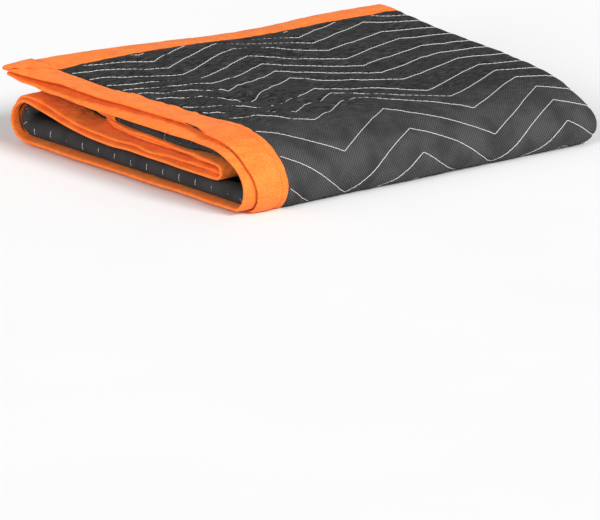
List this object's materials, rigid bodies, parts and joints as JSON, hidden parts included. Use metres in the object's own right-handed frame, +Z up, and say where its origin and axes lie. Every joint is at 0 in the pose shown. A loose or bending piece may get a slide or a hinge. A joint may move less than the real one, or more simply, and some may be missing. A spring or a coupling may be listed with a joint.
{
  "type": "moving pad",
  "caption": "Quilted moving pad with zigzag stitching and a bound edge, folded both ways into a flat stack for storage.",
  "frame": {"origin": "centre of the pad's box on the surface that it lies on", "axes": "+X along the quilting rows from the bound near face to the folded far end, +Y from the rounded front fold to the open back, +Z up"},
  "size_m": [0.584, 0.4554, 0.0957],
  "materials": {
    "quilted_cloth": "charcoal woven polyester, quilted, matt with a faint sheen",
    "binding": "orange woven polyester tape, matt"
  },
  "bodies": {
    "root": {"quilted_panel": "quilted_cloth", "side_binding_outer": "binding", "side_binding_inner": "binding", "end_binding_top": "binding", "end_binding_inside": "binding"}
  },
  "joints": []
}
